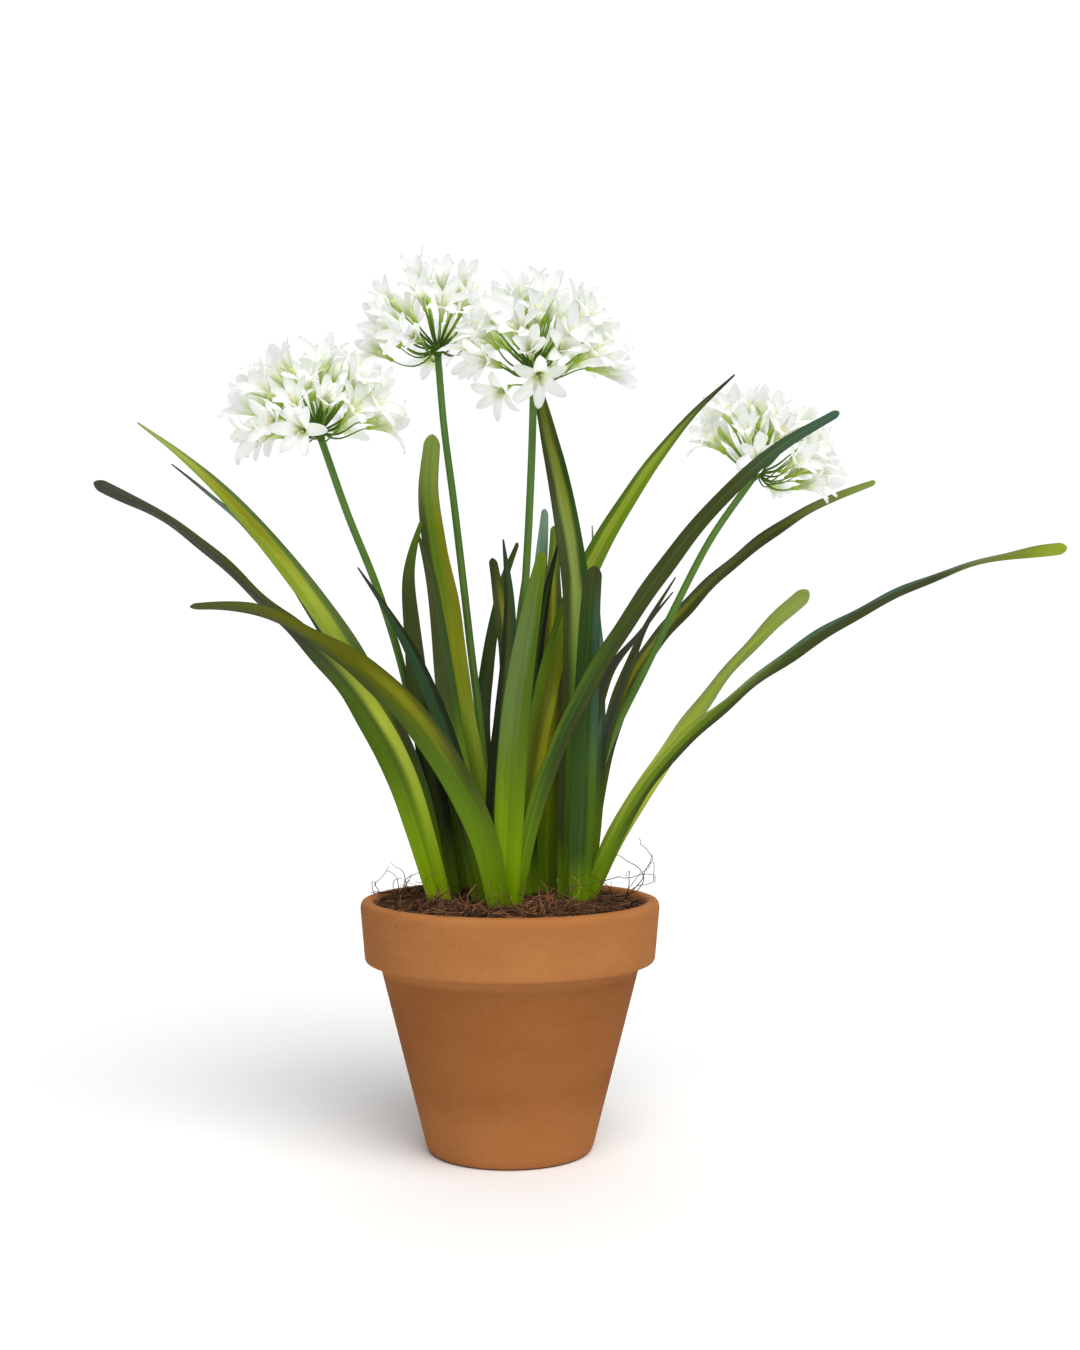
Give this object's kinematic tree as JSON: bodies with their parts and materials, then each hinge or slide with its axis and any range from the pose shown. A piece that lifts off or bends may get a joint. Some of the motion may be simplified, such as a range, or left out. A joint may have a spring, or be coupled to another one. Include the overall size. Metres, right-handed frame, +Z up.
{
  "type": "agapanthus plant in a terracotta pot",
  "caption": "White agapanthus with long arching strap leaves and domed flower heads on upright stems, standing in soil in a plain round terracotta pot.",
  "frame": {"origin": "middle of the pot's flat base, where the pot's axis meets the ground", "axes": "+Z up along the pot's axis; +X to the right and +Y away from the viewer, seen from the side on which the leaves fan out widest"},
  "size_m": [0.8336, 0.4007, 0.8255],
  "materials": {
    "terracotta": "matte, unglazed fired clay",
    "soil": "rough, fibrous dark brown",
    "leaf_green": "satin, finely striated along the leaf",
    "stem_green": "satin",
    "petal_white": "soft matte, slightly translucent"
  },
  "bodies": {
    "root": {"pot": "terracotta", "soil": "soil", "leaf_left_long_dark": "leaf_green", "leaf_left_long_light": "leaf_green", "leaf_left_thin_back": "leaf_green", "leaf_left_blue": "leaf_green", "leaf_left_drooping": "leaf_green", "leaf_left_upright": "leaf_green", "leaf_left_low": "leaf_green", "leaf_left_pointed": "leaf_green", "leaf_left_mid": "leaf_green", "leaf_left_tall": "leaf_green", "leaf_centre_front": "leaf_green", "leaf_centre_dark": "leaf_green", "leaf_centre_olive": "leaf_green", "leaf_centre_back": "leaf_green", "leaf_centre_bright": "leaf_green", "leaf_centre_leaning": "leaf_green", "leaf_centre_wide": "leaf_green", "leaf_centre_grey": "leaf_green", "leaf_right_long_light": "leaf_green", "leaf_right_long_dark": "leaf_green", "leaf_right_tall": "leaf_green", "leaf_right_upright": "leaf_green", "leaf_right_thin": "leaf_green", "leaf_right_narrow": "leaf_green", "leaf_right_pointed": "leaf_green", "leaf_right_back": "leaf_green", "leaf_right_short_light": "leaf_green", "leaf_right_long_low": "leaf_green", "stem_a": "stem_green", "stem_b": "stem_green", "stem_c": "stem_green", "stem_d": "stem_green", "flower_head_a": "petal_white", "flower_head_b": "petal_white", "flower_head_c": "petal_white", "flower_head_d": "petal_white"}
  },
  "joints": []
}
